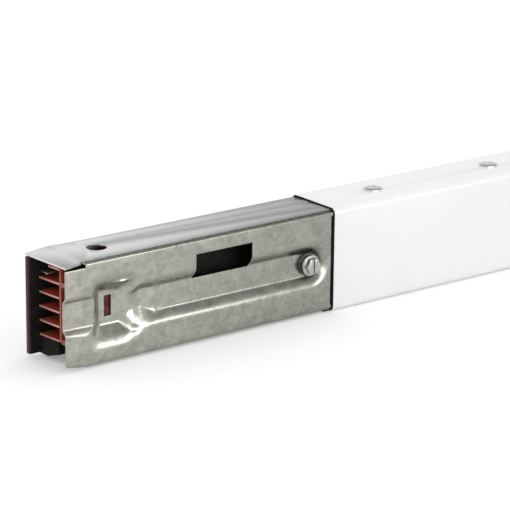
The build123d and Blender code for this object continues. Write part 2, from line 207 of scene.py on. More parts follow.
class Bench(Graph):
    """The graph of one material, with its Principled shader."""

    def __init__(self, name: str) -> None:
        """Start an empty material with its Principled shader.

        Args:
            name: The material's name.
        """
        self.material = bpy.data.materials.new(name)
        self.material.use_nodes = True
        super().__init__(self.material.node_tree)
        output = self.add("ShaderNodeOutputMaterial")
        self.shader = self.add("ShaderNodeBsdfPrincipled")
        self.link(self.shader.outputs["BSDF"], output.inputs["Surface"])
        self.place = self.add("ShaderNodeTexCoord").outputs["Object"]

    def set(self, **values: Any) -> None:
        """Set the shader's own sockets."""
        for key, value in values.items():
            self.shader.inputs[key.replace("_", " ")].default_value = value

    def stretched(self, scale: Triple) -> Socket:
        """Object coordinates scaled apart along X, Y and Z.

        Args:
            scale: The three scales.

        Returns:
            The scaled place.
        """
        mapping = self.add("ShaderNodeMapping")
        mapping.inputs["Scale"].default_value = scale
        self.link(self.place, mapping.inputs["Vector"])
        return mapping.outputs["Vector"]

    def noise(
        self,
        size_mm: float,
        detail: float = 3.0,
        rough: float = 0.55,
        place: Socket | None = None,
        warp: float = 0.0,
    ) -> Socket:
        """A noise pattern from 0 to 1.

        Args:
            size_mm: The size of its largest marks.
            detail: How many finer layers it has.
            rough: How strong those layers are.
            place: Where it is read, or None for object coordinates.
            warp: How far it is swirled.

        Returns:
            The pattern's value.
        """
        node = self.add("ShaderNodeTexNoise", noise_dimensions="3D")
        node.inputs["Scale"].default_value = 1.0 / (size_mm * MM)
        node.inputs["Detail"].default_value = detail
        node.inputs["Roughness"].default_value = rough
        node.inputs["Distortion"].default_value = warp
        self.link(place or self.place, node.inputs["Vector"])
        return node.outputs["Fac"]

    def cells(self, size_mm: float, wander_mm: float = 0.0) -> Socket:
        """A tone for each crystal of a cell pattern.

        Args:
            size_mm: The size of a crystal.
            wander_mm: How far its borders wander.

        Returns:
            A socket with one value from 0 to 1 in each crystal.
        """
        place = self.place
        if wander_mm:
            swirl = self.add("ShaderNodeTexNoise")
            swirl.inputs["Scale"].default_value = 1.0 / (size_mm * 0.6 * MM)
            swirl.inputs["Detail"].default_value = 2.0
            self.link(self.place, swirl.inputs["Vector"])
            shift = self.add("ShaderNodeVectorMath", operation="MULTIPLY_ADD")
            shift.inputs[1].default_value = (wander_mm * MM,) * 3
            self.link(swirl.outputs["Color"], shift.inputs[0])
            self.link(self.place, shift.inputs[2])
            place = shift.outputs["Vector"]
        node = self.add("ShaderNodeTexVoronoi", feature="F1")
        node.inputs["Scale"].default_value = 1.0 / (size_mm * MM)
        self.link(place, node.inputs["Vector"])
        split = self.add("ShaderNodeSeparateColor")
        self.link(node.outputs["Color"], split.inputs["Color"])
        return split.outputs["Red"]

    def shades(self, factor: Socket, stops: Sequence[tuple[float, Colour]]) -> Socket:
        """A colour ramp over a factor.

        Args:
            factor: The value that picks the colour.
            stops: Positions from 0 to 1, each with its colour.

        Returns:
            The colour.
        """
        node = self.add("ShaderNodeValToRGB")
        ramp = node.color_ramp
        while len(ramp.elements) < len(stops):
            ramp.elements.new(0.5)
        for element, (position, colour) in zip(ramp.elements, stops):
            element.position = position
            element.color = (*colour, 1.0)
        self.link(factor, node.inputs["Fac"])
        return node.outputs["Color"]

    def surface(
        self,
        tone: Socket,
        stops: Sequence[tuple[float, Colour]],
        rough: Span,
        worn: Span = (0.0, 1.0),
    ) -> None:
        """Colour and roughen the shader by one tone."""
        self.link(self.shades(tone, stops), self.shader.inputs["Base Color"])
        self.link(self.ranged(tone, rough, worn), self.shader.inputs["Roughness"])

    def bump(self, heights: Sequence[tuple[Socket, float, float]]) -> None:
        """Chain bump patterns into the shader's normal.

        Args:
            heights: Height sockets, each with its depth in mm and its strength.
        """
        normal = None
        for height, depth_mm, strength in heights:
            node = self.add("ShaderNodeBump")
            node.inputs["Distance"].default_value = depth_mm * MM
            node.inputs["Strength"].default_value = strength
            self.link(height, node.inputs["Height"])
            if normal is not None:
                self.link(normal, node.inputs["Normal"])
            normal = node.outputs["Normal"]
        if normal is not None:
            self.link(normal, self.shader.inputs["Normal"])


def mixed(a: Colour, b: Colour, share: float) -> Colour:
    """The colour that lies a share of the way from a to b."""
    return tuple(x + (y - x) * share for x, y in zip(a, b))


@dataclass(frozen=True)
class Galvanised:
    """Hot-dip zinc on rolled sheet: soft crystals and rolling streaks, with painted shade on walls
    that face down and towards the casing.
    """

    slot: Slot = Slot.SHEET
    dark: Colour = (0.285, 0.285, 0.25)
    light: Colour = (0.45, 0.45, 0.40)
    crystal_mm: float = 2.8
    cloud_mm: float = 9.0
    streak_mm: float = 1.6
    grain_mm: float = 0.35
    rough: Span = (0.22, 0.36)
    ripple_mm: float = 0.010
    # Painted shade: the share of the colour kept on walls that face down.
    down_wall_shade: float = 0.86
    # Painted shade: where a fade along X starts and ends, in mm, and the share of the colour kept
    # beyond it.
    shade_fade_mm: Span = (-590.0, -420.0)
    shade_fade_tone: float = 0.78
    streaks: float = 0.08

    def build(self) -> bpy.types.Material:
        """Make the material.

        Returns:
            The finished material.
        """
        bench = Bench(self.slot.value)
        bench.set(Metallic=1.0)
        crystal = bench.cells(self.crystal_mm, wander_mm=self.crystal_mm * 0.8)
        cloud = bench.noise(self.cloud_mm, detail=4.0, rough=0.62, warp=0.6)
        rolled = bench.stretched((0.06, 1.0, 1.0))
        streak = bench.noise(self.streak_mm, detail=2.0, place=rolled)
        grain = bench.noise(self.grain_mm, detail=2.0)
        tone = bench.sums(
            bench.ranged(crystal, (0.06, 0.36)), bench.ranged(cloud, (0.14, 0.5), BAND)
        )
        tone = bench.sums(tone, bench.ranged(streak, (-self.streaks, self.streaks), BAND))
        colour = bench.shades(tone, [(0.1, self.dark), (0.9, self.light)])
        bench.link(self.painted_shade(bench, colour), bench.shader.inputs["Base Color"])
        worn = bench.sums(
            bench.ranged(cloud, self.rough, (0.32, 0.68)), bench.ranged(streak, (-0.03, 0.03))
        )
        bench.link(worn, bench.shader.inputs["Roughness"])
        bench.bump(
            [
                (cloud, self.ripple_mm * 6, 0.35),
                (streak, self.ripple_mm, 0.25),
                (grain, self.ripple_mm * 0.5, 0.2),
            ]
        )
        return bench.material

    def painted_shade(self, bench: Bench, colour: Socket) -> Socket:
        """Paint shade into the zinc: darker on walls that face down, and darker along X towards the
        casing.

        Args:
            bench: The material's graph.
            colour: The clean zinc's colour.

        Returns:
            The darkened colour.
        """
        facing = bench.add("ShaderNodeNewGeometry").outputs["Normal"]
        # Painted shade on walls that face down, standing in for their darker reflection.
        lean = bench.ranged(bench.along(facing, "Z"), (self.down_wall_shade, 1.0), (-0.5, -0.12))
        near, far = (place * MM for place in self.shade_fade_mm)
        # Painted shade fading the zinc along X towards the casing, standing in for the reflection's
        # fall-off.
        painted_fade = bench.ranged(bench.along(bench.place, "X"), (1.0, self.shade_fade_tone), (near, far))
        lean = bench.sums(lean, painted_fade, "MULTIPLY")
        blend = bench.add("ShaderNodeVectorMath", operation="SCALE")
        bench.link(colour, blend.inputs[0])
        bench.link(lean, blend.inputs["Scale"])
        return blend.outputs["Vector"]


@dataclass(frozen=True)
class ShadedCutSteel:
    """The bare sheared edge of a galvanised sheet, painted darker than its faces so that it partly
    stands for the shade in the gaps beside it.
    """

    name: str = "sheared_edge_and_gap_shade"
    dark: Colour = (0.10, 0.10, 0.10)
    light: Colour = (0.34, 0.33, 0.31)
    tear_mm: float = 0.8
    rough: Span = (0.35, 0.6)

    def build(self) -> bpy.types.Material:
        """Make the material.

        Returns:
            The finished material.
        """
        bench = Bench(self.name)
        bench.set(Metallic=1.0)
        tear = bench.noise(self.tear_mm, detail=3.0)
        bench.surface(tear, [(0.3, self.dark), (0.7, self.light)], self.rough)
        bench.bump([(tear, 0.02, 0.4)])
        return bench.material


@dataclass(frozen=True)
class PowderCoat:
    """Powder coat with its fine orange peel."""

    slot: Slot = Slot.PAINT
    colour: Colour = (0.90, 0.90, 0.89)
    shade: Colour = (0.87, 0.87, 0.865)
    peel_mm: float = 1.1
    rough: Span = (0.30, 0.38)

    def build(self) -> bpy.types.Material:
        """Make the material.

        Returns:
            The finished material.
        """
        bench = Bench(self.slot.value)
        bench.set(Coat_Weight=0.15, Coat_Roughness=0.2)
        cloud = bench.noise(60.0, detail=2.0)
        peel = bench.noise(self.peel_mm, detail=1.0, rough=0.4)
        bench.surface(cloud, [(0.3, self.shade), (0.6, self.colour)], self.rough)
        bench.bump([(peel, 0.01, 0.25)])
        return bench.material


@dataclass(frozen=True)
class PlatedMetal:
    """Plated or drawn metal with fine handling marks."""

    slot: Slot
    dark: Colour
    light: Colour
    rough: Span = (0.2, 0.34)
    patch_mm: float = 2.5
    mark_mm: float = 0.25
    along: Triple = (1.0, 1.0, 1.0)

    def build(self) -> bpy.types.Material:
        """Make the material.

        Returns:
            The finished material.
        """
        bench = Bench(self.slot.value)
        bench.set(Metallic=1.0)
        place = bench.stretched(self.along)
        patch = bench.noise(self.patch_mm, detail=3.0, place=place)
        mark = bench.noise(self.mark_mm, detail=2.0, place=place)
        bench.surface(patch, [(0.3, self.dark), (0.7, self.light)], self.rough, BAND)
        bench.bump([(mark, 0.006, 0.25)])
        return bench.material


@dataclass(frozen=True)
class Moulded:
    """A moulded plastic or rubber with a fine sparked grain and faint flow marks."""

    slot: Slot
    colour: Colour
    lighter: float = 0.12
    rough: Span = (0.38, 0.5)
    flow_mm: float = 9.0
    grain_mm: float = 0.3
    grain_depth_mm: float = 0.01
    gloss: float = 0.3

    def build(self) -> bpy.types.Material:
        """Make the material.

        Returns:
            The finished material.
        """
        bench = Bench(self.slot.value)
        bench.set(Specular_IOR_Level=self.gloss)
        flow = bench.noise(self.flow_mm, detail=2.0, warp=1.0)
        grain = bench.noise(self.grain_mm, detail=1.0)
        bright = mixed(self.colour, (1.0, 1.0, 1.0), self.lighter * 0.35)
        deep = mixed(self.colour, (0.0, 0.0, 0.0), self.lighter)
        bench.surface(flow, [(0.35, deep), (0.65, bright)], self.rough, BAND)
        bench.bump([(grain, self.grain_depth_mm, 0.3)])
        return bench.material


@dataclass(frozen=True)
class CutMoulding:
    """The trimmed ends of the comb, paler than its faces partly as cut moulding and partly as a
    painted highlight, with painted shade at the spine and towards the back.
    """

    name: str = "trimmed_edge_lit_and_shaded"
    # Painted shade: the spine's end, and the ends deeper in the comb (deep), are darker than the
    # pale ends near the front.
    spine_shade: Colour = (0.34, 0.125, 0.085)
    pale: Colour = (0.74, 0.36, 0.32)
    deep: Colour = (0.52, 0.25, 0.21)
    across_mm: Span = (-3.6, 12.4)

    def build(self) -> bpy.types.Material:
        """Make the material.

        Returns:
            The finished material.
        """
        bench = Bench(self.name)
        bench.set(Specular_IOR_Level=0.3)
        near, far = (edge * MM for edge in self.across_mm)
        across = bench.ranged(bench.along(bench.place, "Y"), (0.0, 1.0), (near, far))
        fibre = bench.noise(0.7, detail=3.0, place=bench.stretched((1.0, 0.3, 1.0)))
        tone = bench.sums(across, bench.ranged(fibre, (-0.03, 0.03), BAND))
        bench.link(
            bench.shades(tone, [(0.07, self.spine_shade), (0.16, self.pale), (1.0, self.deep)]),
            bench.shader.inputs["Base Color"],
        )
        bench.link(bench.ranged(fibre, (0.4, 0.6)), bench.shader.inputs["Roughness"])
        bench.bump([(fibre, 0.02, 0.3)])
        return bench.material


class Finishes:
    """Every finish of the section, made once and handed out by slot."""

    def __init__(self) -> None:
        """Build one material for each slot, and those of the cut edges."""
        recipes = [
            Galvanised(),
            Galvanised(
                Slot.COVER,
                dark=(0.635, 0.635, 0.64),
                light=(0.735, 0.735, 0.74),
                crystal_mm=4.0,
                rough=(0.24, 0.32),
                ripple_mm=0.004,
                # Painted shade: the cover fades to about half its tone along X towards the casing.
                shade_fade_mm=(-560.0, -400.0),
                shade_fade_tone=0.47,
                streaks=0.14,
            ),
            PowderCoat(),
            PlatedMetal(Slot.ZINC, (0.33, 0.33, 0.31), (0.50, 0.50, 0.48)),
            # The plain washer's near-black zinc stands partly for the shade round the screw's
            # flange.
            PlatedMetal(Slot.DARK_ZINC_SHADE, (0.05, 0.05, 0.05), (0.12, 0.12, 0.12), rough=(0.35, 0.5)),
            PlatedMetal(Slot.RIVET, (0.50, 0.50, 0.50), (0.66, 0.66, 0.65), rough=(0.14, 0.24)),
            PlatedMetal(Slot.TIN, (0.30, 0.30, 0.30), (0.46, 0.46, 0.44), rough=(0.3, 0.45)),
            PlatedMetal(
                Slot.COPPER,
                (0.62, 0.30, 0.19),
                (0.80, 0.43, 0.30),
                rough=(0.22, 0.38),
                along=(0.05, 1.0, 1.0),
            ),
            Moulded(Slot.RED, (0.36, 0.055, 0.03), 0.03, gloss=0.2),
            Moulded(Slot.FLAG, (0.11, 0.012, 0.010), gloss=0.15),
            # The trim's maroon is a far darker copy of the comb's red: painted shade on the far
            # wall's end.
            Moulded(Slot.MAROON_SHADE, (0.055, 0.018, 0.020), 0.02, rough=(0.3, 0.42), gloss=0.15),
            Moulded(Slot.BLACK, (0.0075, 0.0075, 0.006), 0.01, rough=(0.45, 0.6), gloss=0.08),
            Moulded(Slot.RUBBER, (0.006, 0.006, 0.006), 0.01, rough=(0.55, 0.7), gloss=0.05),
        ]
        self._made = {recipe.slot: recipe.build() for recipe in recipes}
        self.edge = ShadedCutSteel().build()
        self.cut_red_lit_and_shaded = CutMoulding().build()

    def of(self, slot: Slot) -> bpy.types.Material:
        """The material of one slot."""
        return self._made[slot]


# ---- mesh helpers


def link_mesh(name: str, mesh: bpy.types.Mesh) -> bpy.types.Object:
    """Put a mesh in the scene as a new object at the origin.

    Args:
        name: The object's name.
        mesh: Its mesh.

    Returns:
        The new object.
    """
    piece = bpy.data.objects.new(name, mesh)
    bpy.context.scene.collection.objects.link(piece)
    return piece


def sharpen(mesh: bpy.types.Mesh, angle_deg: float, broad_mm: float = 1.2) -> None:
    """Smooth a mesh's narrow faces, and keep its broad faces flat and its corners sharp.

    Args:
        mesh: The mesh.
        angle_deg: Edges above this angle stay sharp.
        broad_mm: A face is broad if its area is more than this width times its outline.
    """
    points = [vertex.co for vertex in mesh.vertices]
    for face in mesh.polygons:
        ring = [points[i] for i in face.vertices]
        outline = sum((b - a).length for a, b in zip(ring, ring[1:] + ring[:1]))
        face.use_smooth = face.area <= broad_mm * MM * outline
    mesh.set_sharp_from_angle(angle=math.radians(angle_deg))


def ease_edges(piece: bpy.types.Object, width_mm: float, above_deg: float) -> None:
    """Bevel the edges that are sharper than an angle.

    Args:
        piece: The object that gets the bevel.
        width_mm: The bevel's width.
        above_deg: The angle.
    """
    bevel = piece.modifiers.new("ease", "BEVEL")
    bevel.width = width_mm * MM
    bevel.segments = 2
    bevel.limit_method = "ANGLE"
    bevel.angle_limit = math.radians(above_deg)


def settle(piece: bpy.types.Object, sharp_deg: float = 32.0) -> bpy.types.Object:
    """Turn a piece's modifiers into plain mesh.

    Args:
        piece: The object with live modifiers.
        sharp_deg: Edges above this angle stay sharp.

    Returns:
        The same object, with its evaluated mesh and no modifiers.
    """
    graph = bpy.context.evaluated_depsgraph_get()
    graph.update()
    mesh = bpy.data.meshes.new_from_object(piece.evaluated_get(graph), depsgraph=graph)
    piece.modifiers.clear()
    old = piece.data
    piece.data = mesh
    bpy.data.meshes.remove(old)
    mesh.name = piece.name
    sharpen(mesh, sharp_deg)
    return piece


def finish_piece(piece: bpy.types.Object, nodes: Iterable[str]) -> None:
    """Hand a finished piece to the frame.

    Args:
        piece: The finished object.
        nodes: The nodes that it replaces.
    """
    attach(piece, ROOT)
    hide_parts(*nodes)
    triangles = sum(len(face.vertices) - 2 for face in piece.data.polygons)
    log.info("%s: %d triangles", piece.name, triangles)


class Frame:
    """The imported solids: their meshes, and where each one is."""

    def __init__(self) -> None:
        """Load the frame and keep its outer box."""
        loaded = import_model()
        self.nodes: dict[str, bpy.types.Object] = loaded["nodes"]
        self.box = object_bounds()
        self.joint_end = -self.box[1].x

    @staticmethod
    def middle(node: str) -> Vector:
        """The middle of a node's box."""
        low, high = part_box(node)
        return (low + high) / 2

    def numbered(self, stem: str) -> list[str]:
        """The nodes that share a stem, in the order of their numbers."""
        found = [n for n in self.nodes if n.startswith(stem + "_")]
        return sorted(found, key=lambda n: int(n.rsplit("_", 1)[1]))

    def merged(self, node: str, name: str) -> bpy.types.Object:
        """A copy of a node with its loose triangles joined and its flat faces made whole.

        Args:
            node: The node to copy.
            name: The new piece's name.

        Returns:
            The new object.
        """
        work = bmesh.new()
        work.from_mesh(self.nodes[node].data)
        bmesh.ops.remove_doubles(work, verts=work.verts, dist=WELD_M)
        bmesh.ops.dissolve_limit(
            work, angle_limit=math.radians(FLAT_DEG), verts=work.verts, edges=work.edges
        )
        mesh = bpy.data.meshes.new(name)
        work.to_mesh(mesh)
        work.free()
        return link_mesh(name, mesh)

    def eased(
        self,
        node: str,
        name: str,
        materials: Sequence[bpy.types.Material],
        ease_mm: float,
        above_deg: float = 40.0,
    ) -> bpy.types.Object:
        """A node's copy with its edges eased.

        Args:
            node: The node to copy.
            name: The new piece's name.
            materials: Its materials, the first on every face.
            ease_mm: The width of the eased edges.
            above_deg: Edges above this angle are eased.

        Returns:
            The finished object.
        """
        piece = self.merged(node, name)
        piece.data.materials.clear()
        for material in materials:
            piece.data.materials.append(material)
        ease_edges(piece, ease_mm, above_deg)
        return settle(piece)


class RowTree(Graph):
    """A Geometry Nodes tree that repeats its own piece along a straight row."""

    GIVEN = {
        "Geometry": "Geometry",
        "Count": "Int",
        "Step": "Vector",
        "Centre": "Vector",
        "Turn": "Float",
        "Seed": "Int",
        "Finish": "Material",
    }

    def __init__(self) -> None:
        """Build the tree with its named inputs."""
        super().__init__(bpy.data.node_groups.new("row_of_pieces", "GeometryNodeTree"))
        face = self.tree.interface
        for name, kind in self.GIVEN.items():
            face.new_socket(name, in_out="INPUT", socket_type=f"NodeSocket{kind}")
        face.new_socket("Geometry", in_out="OUTPUT", socket_type="NodeSocketGeometry")
        self._wire()

    def _wire(self) -> None:
        """Add the nodes that make the row, turn each copy and give it its finish."""
        given = self.add("NodeGroupInput").outputs
        row = self.add("GeometryNodeMeshLine", mode="OFFSET")
        up = self.add("ShaderNodeCombineXYZ")
        spin = self.add("FunctionNodeRandomValue", data_type="FLOAT_VECTOR")
        spin.inputs["Min"].default_value = (0.0, 0.0, 0.0)
        copies = self.add("GeometryNodeInstanceOnPoints")
        real = self.add("GeometryNodeRealizeInstances")
        dress = self.add("GeometryNodeSetMaterial")
        result = self.add("NodeGroupOutput")
        for source, target in (
            (given["Count"], row.inputs["Count"]),
            (given["Centre"], row.inputs["Start Location"]),
            (given["Step"], row.inputs["Offset"]),
            (given["Turn"], up.inputs["Z"]),
            (up.outputs["Vector"], spin.inputs["Max"]),
            (given["Seed"], spin.inputs["Seed"]),
            (row.outputs["Mesh"], copies.inputs["Points"]),
            (given["Geometry"], copies.inputs["Instance"]),
            (spin.outputs["Value"], copies.inputs["Rotation"]),
            (copies.outputs["Instances"], real.inputs["Geometry"]),
            (real.outputs["Geometry"], dress.inputs["Geometry"]),
            (given["Finish"], dress.inputs["Material"]),
            (dress.outputs["Geometry"], result.inputs["Geometry"]),
        ):
            self.link(source, target)

    def repeat(
        self,
        piece: bpy.types.Object,
        count: int,
        step: Vector,
        centre: Vector,
        finish: bpy.types.Material,
        turn: float = 0.0,
        seed: int = 0,
    ) -> bpy.types.Object:
        """Repeat a piece that was built round the origin.

        Args:
            piece: The piece, centred on the origin.
            count: How many copies.
            step: From one copy to the next.
            centre: Where the first copy goes.
            finish: The copies' material.
            turn: The most that a copy is turned about Z, in radians.
            seed: The seed of those turns.

        Returns:
            The same object, with the whole row as its plain mesh.
        """
        modifier = piece.modifiers.new("row", "NODES")
        modifier.node_group = self.tree
        values = {
            "Count": count,
            "Step": tuple(step),
            "Centre": tuple(centre),
            "Turn": turn,
            "Seed": seed,
            "Finish": finish,
        }
        for item in self.tree.interface.items_tree:
            if item.in_out == "INPUT" and item.name in values:
                modifier[item.identifier] = values[item.name]
        return settle(piece)


# ---- bent sheets

Course = tuple[tuple[float, float], ...]


def follow(course: Course, x: np.ndarray) -> np.ndarray:
    """A course's value at each place, held beyond its ends."""
    places, values = zip(*course)
    return np.interp(x, places, values)


def soft_floor(value: np.ndarray, blend: float) -> np.ndarray:
    """The larger of value and 0, with a soft bend between them."""
    middle = (value + blend) ** 2 / (4 * blend)
    return np.where(value <= -blend, 0.0, np.where(value >= blend, value, middle))


def soft_least(a: np.ndarray, b: np.ndarray, blend: np.ndarray | float) -> np.ndarray:
    """The smaller of a and b, rounded where they meet."""
    near = np.maximum(blend - np.abs(a - b), 0.0) / blend
    return np.minimum(a, b) - near * near * blend / 4


def joined_depth(a: np.ndarray, b: np.ndarray, blend: float) -> np.ndarray:
    """The larger of two depths, rounded where two walls meet and exact where either is flat.

    Args:
        a: The first depth.
        b: The second depth.
        blend: How near they are where the rounding starts.

    Returns:
        The joined depth.
    """
    near = np.maximum(blend - np.abs(a - b), 0.0) / blend
    walls = np.clip(np.minimum(a, b) / blend, 0.0, 1.0)
    return np.maximum(a, b) + near * near * walls * blend / 4


@dataclass(frozen=True)
class Pressing:
    """One pressed form: where its walls leave the sheet's face and where they reach its floor.

    Places run along the plate from the joint end and heights up from the plate's foot, in mm.
    """

    depth: Course
    mouth_low: Course
    mouth_high: Course
    floor_low: Course
    floor_high: Course
    left: Span | None = None
    right: Span | None = None
    right_above: Span | None = None
    corner_low: Course = ((0.0, 0.5),)
    corner_high: Course = ((0.0, 0.5),)
    tighten: float = 0.0
    mouth_bend: float = 1.0
    floor_bend: float = 0.7

    def walls(self, x: np.ndarray, z: np.ndarray) -> np.ndarray:
        """How far down its walls each place is, 0 at the mouth and 1 at the floor.

        Args:
            x: Places along the plate.
            z: Heights on the plate.

        Returns:
            The share of the depth, below 0 outside and above 1 inside.
        """
        low, high = follow(self.mouth_low, x), follow(self.mouth_high, x)
        up = (z - low) / (follow(self.floor_low, x) - low)
        down = (high - z) / (high - follow(self.floor_high, x))
        ends = []
        if self.left is not None:
            ends.append((x - self.left[0]) / (self.left[1] - self.left[0]))
        if self.right is not None:
            above = self.right_above or self.right
            rise = np.clip(up / (up + np.maximum(down, 0.0) + 1e-6), 0.0, 1.0)
            mouth = self.right[0] + (above[0] - self.right[0]) * rise
            floor = self.right[1] + (above[1] - self.right[1]) * rise
            ends.append((mouth - x) / (mouth - floor))
        for end in ends:
            up = self.turned(up, end, follow(self.corner_low, x))
            down = self.turned(down, end, follow(self.corner_high, x))
        return np.minimum(up, down)

    def turned(self, wall: np.ndarray, end: np.ndarray, corner: np.ndarray) -> np.ndarray:
        """Join a long wall to an end wall by a corner that tightens towards the floor."""
        down = np.clip(np.minimum(wall, end), 0.0, 1.0)
        return soft_least(wall, end, corner * (1.0 - self.tighten * down))

    def sink(self, x: np.ndarray, z: np.ndarray) -> np.ndarray:
        """The depth of the pressed face at each place, in mm.

        Args:
            x: Places along the plate.
            z: Heights on the plate.

        Returns:
            The depths.
        """
        depth = follow(self.depth, x)
        wall = soft_floor(depth * self.walls(x, z), self.mouth_bend)
        return depth - soft_floor(depth - wall, self.floor_bend)


@dataclass(frozen=True)
class RoundedPressing(Pressing):
    """A pressed channel whose right end is round, about a centre on its middle line."""

    centre: Span = (0.0, 0.0)

    def walls(self, x: np.ndarray, z: np.ndarray) -> np.ndarray:
        """How far down its walls each place is, 0 at the mouth and 1 at the floor.

        Args:
            x: Places along the plate.
            z: Heights on the plate.

        Returns:
            The share of the depth, below 0 outside and above 1 inside.
        """
        flat = super().walls(x, z)
        half = self.mouth_high[0][1] - self.centre[1]
        run = self.mouth_high[0][1] - self.floor_high[0][1]
        away = np.hypot(x - self.centre[0], z - self.centre[1])
        return np.where(x > self.centre[0], (half - away) / run, flat)


@dataclass(frozen=True)
class Bulge:
    """A low swelling that the press left, standing out of the sheet, or a hollow below 0."""

    centre: Span
    reach: Span
    rise: float

    def height(self, x: np.ndarray, z: np.ndarray) -> np.ndarray:
        """How far the sheet stands out at each place, in mm.

        Args:
            x: Places along the plate.
            z: Heights on the plate.

        Returns:
            The rise, below 0 in a hollow.
        """
        along = (x - self.centre[0]) / self.reach[0]
        up = (z - self.centre[1]) / self.reach[1]
        return self.rise * np.exp(-along * along - up * up)


# The lip in the pocket's upper wall, and the hollow between the pocket's corner and the neck.
BULGES: tuple[Bulge, ...] = (
    Bulge((46.0, 52.0), (5.0, 1.0), 1.3),
    Bulge((55.5, 18.5), (3.0, 2.4), -0.9),
)


def relief_forms(
    screw: Span, mouth_half: float = 13.1, floor_half: float = 8.4
) -> list[Pressing]:
    """The front plate's pressed forms: entry, pocket, neck and channel.

    Args:
        screw: The clamping screw's place and height, where the channel ends.
        mouth_half: Half the height of the channel's mouth.
        floor_half: Half the height of its floor.

    Returns:
        The forms, to be joined by their greatest depth.
    """
    entry = Pressing(
        depth=((0.0, 3.0),),
        mouth_low=((0.0, 24.9), (20.0, 22.3)),
        mouth_high=((0.0, 47.2), (20.0, 47.6)),
        floor_low=((0.0, 26.7),),
        floor_high=((0.0, 44.4),),
        right=(33.0, 32.0),
        mouth_bend=1.8,
        floor_bend=0.5,
    )
    pocket = Pressing(
        depth=((0.0, 8.0),),
        mouth_low=((44.0, 13.4), (52.5, 15.2), (58.5, 18.4)),
        mouth_high=((39.0, 55.8), (51.0, 54.7), (58.5, 52.8)),
        floor_low=((0.0, 23.5),),
        floor_high=((31.0, 46.5), (46.5, 44.9)),
        left=(21.0, 31.3),
        right=(55.5, 46.3),
        right_above=(58.5, 46.3),
        corner_low=((34.0, 0.8), (44.0, 0.9)),
        corner_high=((34.0, 1.2), (44.0, 0.9)),
        tighten=0.8,
        mouth_bend=3.6,
        floor_bend=0.9,
    )
    neck = Pressing(
        depth=((50.0, 5.0), (55.5, 4.7), (60.5, 5.8), (66.0, 5.8), (72.7, 5.0)),
        mouth_low=((46.5, 12.6), (52.5, 14.5), (58.5, 18.0), (64.0, 20.0), (72.7, 21.5)),
        mouth_high=((59.0, 48.8), (72.7, 47.5)),
        floor_low=((46.5, 22.0), (49.5, 26.5), (52.5, 30.7), (62.0, 31.0), (72.7, 26.2)),
        floor_high=((54.0, 41.0), (63.0, 42.8)),
        left=(40.0, 42.0),
        right=(78.0, 71.0),
        mouth_bend=1.5,
        floor_bend=0.4,
    )
    channel = RoundedPressing(
        depth=((0.0, 5.0),),
        mouth_low=((0.0, screw[1] - mouth_half),),
        mouth_high=((0.0, screw[1] + mouth_half),),
        floor_low=((0.0, screw[1] - floor_half),),
        floor_high=((0.0, screw[1] + floor_half),),
        left=(59.5, 72.7),
        corner_low=((0.0, 0.7),),
        corner_high=((0.0, 0.7),),
        mouth_bend=3.6,
        floor_bend=0.9,
        centre=screw,
    )
    return [entry, pocket, neck, channel]


